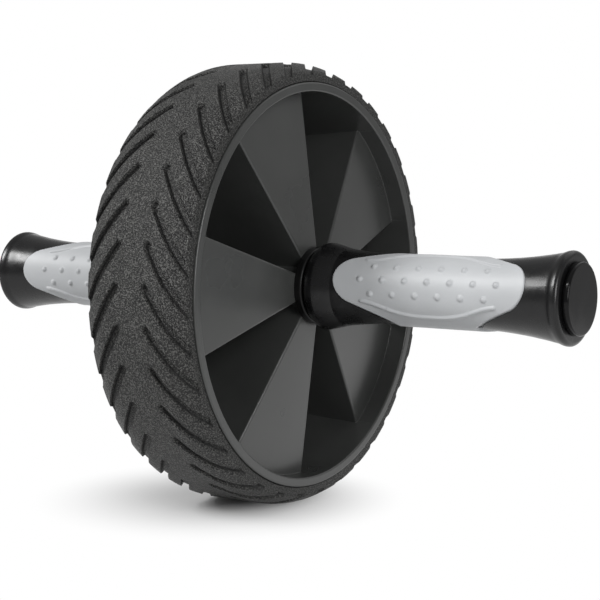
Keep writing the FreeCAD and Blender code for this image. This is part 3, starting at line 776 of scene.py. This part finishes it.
def studio_surround(settings):
    """A world of soft light. Shiny pieces show its white backdrop behind the wheel and a dimmer room."""
    world = bpy.data.worlds.new("studio_surround")
    world.use_nodes = True
    tree = world.node_tree
    tree.nodes.clear()
    seen, by_camera = seen_by(tree)
    facing = add(tree, "ShaderNodeVectorMath", {
        "operation": "DOT_PRODUCT", 0: add(tree, "ShaderNodeTexCoord").outputs["Generated"],
        1: -out_from_wheel(settings.azimuth, 0)})
    shown = remap(tree, facing.outputs["Value"], ROOM_STARTS, BACKDROP_ENDS,
                  least=settings.surround, curve="SMOOTHSTEP")
    soft = add(tree, "ShaderNodeBackground", {"Color": settings.backdrop, "Strength": settings.surround})
    white = add(tree, "ShaderNodeBackground", {
        "Color": settings.backdrop, "Strength": calculate(tree, "MAXIMUM", shown, by_camera)})
    add(tree, "ShaderNodeOutputWorld", {
        "Surface": add(tree, "ShaderNodeMixShader", {0: seen, 1: soft, 2: white})})
    return world


# Operators


class ROLLER_OT_studio(bpy.types.Operator):
    """Sets up the white studio: floor, surroundings, lamps and camera"""
    bl_idname = "roller.studio"
    bl_label = "Studio"

    def execute(self, context):
        scene, settings = context.scene, context.scene.roller_studio
        scene.view_settings.view_transform = "Standard"
        scene.world = studio_surround(settings)

        reach = settings.paper / 2
        corners = [(-reach, -reach, 0), (reach, -reach, 0), (reach, reach, 0), (-reach, reach, 0)]
        floor = new_piece("studio_floor", corners, [(0, 1, 2, 3)])
        floor.data.materials.append(studio_paper(settings))

        centre = Vector((0, 0, AXLE_HEIGHT))
        for name in ("key", "side", "back"):
            lamp = bpy.data.lights.new(name + "_soft_box", "AREA")
            lamp.shape = "RECTANGLE"
            lamp.size = getattr(settings, name + "_width")
            lamp.size_y = getattr(settings, name + "_height")
            lamp.energy = getattr(settings, name + "_power")
            stand = bpy.data.objects.new(name + "_soft_box", lamp)
            stand.location = getattr(settings, name + "_place")
            stand.rotation_euler = (centre - stand.location).to_track_quat("-Z", "Y").to_euler()
            scene.collection.objects.link(stand)

        camera = bpy.data.cameras.new("photo_camera")
        camera.lens = settings.lens
        camera.sensor_width = SENSOR_WIDTH
        camera.clip_start = NEAREST_SEEN
        eye = bpy.data.objects.new("photo_camera", camera)
        eye.location = centre + settings.distance * out_from_wheel(settings.azimuth, settings.elevation)
        ahead = -out_from_wheel(settings.azimuth + settings.pan, settings.elevation + settings.tilt)
        eye.rotation_euler = ahead.to_track_quat("-Z", "Y").to_euler()
        scene.collection.objects.link(eye)
        scene.camera = eye
        return {"FINISHED"}


class ROLLER_OT_tyre(bpy.types.Operator):
    """Makes the foam rubber tyre with its two rows of slanted grooves"""
    bl_idname = "roller.tyre"
    bl_label = "Tyre"

    def execute(self, context):
        settings = context.scene.roller_tyre
        points, faces, marks = tread_pitch(settings)
        piece = new_piece("foam_tyre", points, faces)
        for name, values in marks.items():
            piece.data.attributes.new(name, "FLOAT", "POINT").data.foreach_set("value", values)
        tree, keys = tread_tree()
        grow(piece, tree, keys, {
            "Grooves": settings.groove_count, "Axle Height": AXLE_HEIGHT, "Relief": settings.relief,
            "Grain": 1 / settings.relief_size, "Material": foam_rubber(settings)})
        close_shell(piece)
        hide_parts("tyre")
        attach(piece, "wheel")
        return {"FINISHED"}


class ROLLER_OT_wheel(bpy.types.Operator):
    """Finishes the wheel core, the hub covers and the bushes"""
    bl_idname = "roller.wheel"
    bl_label = "Wheel"

    def execute(self, context):
        settings = context.scene.roller_wheel
        dress(wheel_plastic(settings), "wheel_core")
        dress(cover_plastic(settings), "hub_cover_left", "hub_cover_right")
        dress(bush_plastic(settings), "hub_bush_left", "hub_bush_right")
        return {"FINISHED"}


class ROLLER_OT_grips(bpy.types.Operator):
    """Finishes the grip bodies, the end caps and the handle cores"""
    bl_idname = "roller.grips"
    bl_label = "Grips"

    def execute(self, context):
        settings = context.scene.roller_grip
        dress(grip_plastic(settings), "grip_body_left", "grip_body_right")
        dress(cap_plastic(settings), "end_cap_left", "end_cap_right")
        dress(core_plastic(settings), "handle_core_left", "handle_core_right")
        return {"FINISHED"}


class ROLLER_OT_pads(bpy.types.Operator):
    """Makes the two soft grip pads with their dots and ridges"""
    bl_idname = "roller.pads"
    bl_label = "Pads"

    def execute(self, context):
        settings = context.scene.roller_grip
        rubber = soft_rubber(settings)
        for side, sign, lean in (("left", -1, settings.turn_left), ("right", 1, settings.turn_right)):
            centre = sign * settings.pad_centre
            points, faces = pad_shell(settings, centre, lean)
            piece = new_piece("soft_pad_" + side, points, faces)
            close_shell(piece)
            dots, lines, edges = dots_and_ridges(settings, centre, lean)
            spots = new_piece("dot_places_" + side, dots)
            runs = new_piece("ridge_places_" + side, lines, (), edges)
            tree, keys = pad_tree()
            grow(piece, tree, keys, {
                "Dots": spots, "Ridges": runs, "Dot Radius": settings.dot_diameter / 2,
                "Dot Height": settings.dot_height, "Ridge Half Width": settings.ridge_width / 2,
                "Ridge Height": settings.ridge_height, "Material": rubber})
            for guide in (spots, runs):
                bpy.data.meshes.remove(guide.data)
            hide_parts("grip_pad_" + side)
            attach(piece, "handles")
        return {"FINISHED"}


class ROLLER_OT_hardware(bpy.types.Operator):
    """Finishes the axle, the washers and the bolts"""
    bl_idname = "roller.hardware"
    bl_label = "Hardware"

    def execute(self, context):
        steel = turned_steel(context.scene.roller_grip)
        dress(steel, "axle")
        for name in ("thrust_washer", "bolt_washer", "end_bolt"):
            dress(steel, name + "_left", name + "_right")
        return {"FINISHED"}


class ROLLER_PT_pieces(bpy.types.Panel):
    """Lists the roller's pieces and its studio"""
    bl_idname = "ROLLER_PT_pieces"
    bl_label = "Ab Wheel Roller"
    bl_space_type = "VIEW_3D"
    bl_region_type = "UI"
    bl_category = "Roller"

    def draw(self, context):
        for operator in OPERATORS:
            self.layout.operator(operator.bl_idname)
        for name in SETTINGS:
            group = getattr(context.scene, name)
            box = self.layout.box()
            for key in group.__annotations__:
                box.prop(group, key)


OPERATORS = (
    ROLLER_OT_studio, ROLLER_OT_tyre, ROLLER_OT_wheel, ROLLER_OT_grips, ROLLER_OT_pads, ROLLER_OT_hardware)
SETTINGS = {
    "roller_tyre": TyreSettings, "roller_wheel": WheelSettings,
    "roller_grip": GripSettings, "roller_studio": StudioSettings}


def register():
    for kind in (*SETTINGS.values(), *OPERATORS, ROLLER_PT_pieces):
        bpy.utils.register_class(kind)
    for name, kind in SETTINGS.items():
        setattr(bpy.types.Scene, name, PointerProperty(type=kind))


def unregister():
    for name in SETTINGS:
        delattr(bpy.types.Scene, name)
    for kind in (ROLLER_PT_pieces, *reversed(OPERATORS), *reversed(SETTINGS.values())):
        bpy.utils.unregister_class(kind)


def main():
    register()
    bpy.ops.roller.studio()
    bpy.ops.roller.tyre()
    bpy.ops.roller.wheel()
    bpy.ops.roller.grips()
    bpy.ops.roller.pads()
    bpy.ops.roller.hardware()


if __name__ == "__main__":
    main()
